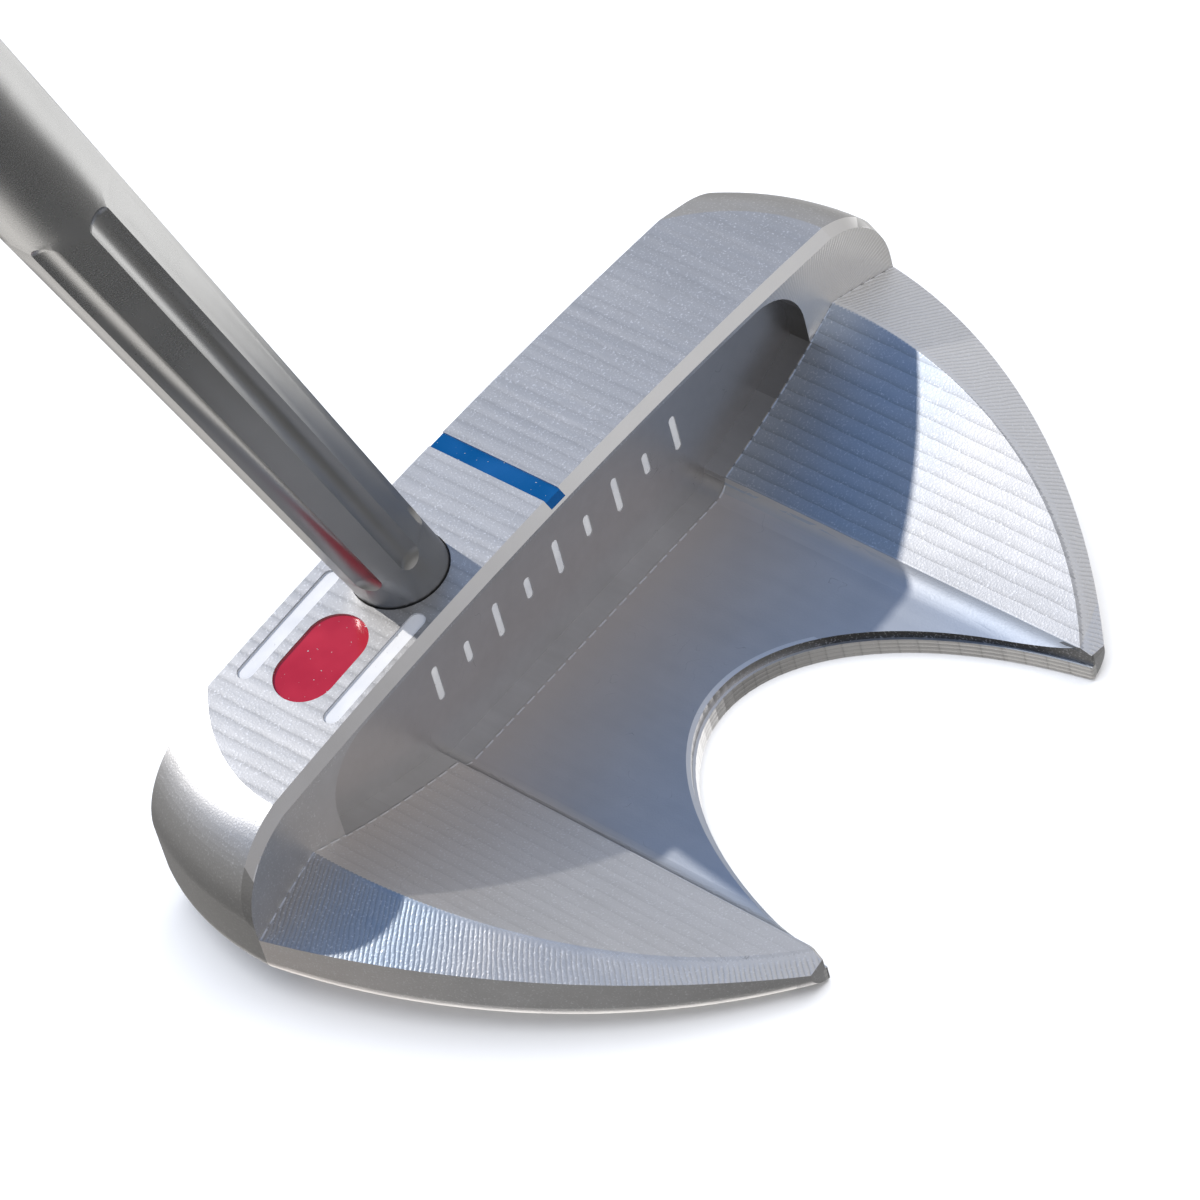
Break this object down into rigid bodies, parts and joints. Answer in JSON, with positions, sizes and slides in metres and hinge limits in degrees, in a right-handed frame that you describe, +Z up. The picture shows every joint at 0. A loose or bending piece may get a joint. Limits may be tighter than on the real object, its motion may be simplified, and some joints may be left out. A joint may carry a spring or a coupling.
{
  "type": "mallet putter",
  "caption": "Right-handed half-moon mallet putter: milled steel head with enamelled aim marks, fluted shaft set in the heel side, and a flat-fronted rubber grip.",
  "frame": {"origin": "centre of the flat of the sole, on the ground under the middle of the head", "axes": "+X from heel to toe, +Y towards the target (the strike face looks along +Y), +Z up, towards the grip"},
  "size_m": [0.336, 0.069, 0.8245],
  "materials": {
    "head_steel": "milled stainless steel, satin, with fine cutter marks",
    "red_enamel": "glossy enamel",
    "white_enamel": "glossy enamel",
    "blue_enamel": "glossy enamel",
    "shaft_steel": "dark satin plating",
    "black_epoxy": "set epoxy, dull",
    "grip_tape": "paper-backed adhesive tape",
    "grip_rubber": "matt moulded rubber"
  },
  "bodies": {
    "root": {"head_body": "head_steel", "aim_dot_fill": "red_enamel", "aim_line_fill_face_side": "white_enamel", "aim_line_fill_back_side": "white_enamel", "sight_line_fill": "blue_enamel", "gauge_tick_fills": "white_enamel", "shaft": "shaft_steel", "shaft_epoxy": "black_epoxy", "tip_plug": "black_epoxy", "grip_tape": "grip_tape", "grip_body": "grip_rubber", "grip_cap": "grip_rubber"}
  },
  "joints": []
}
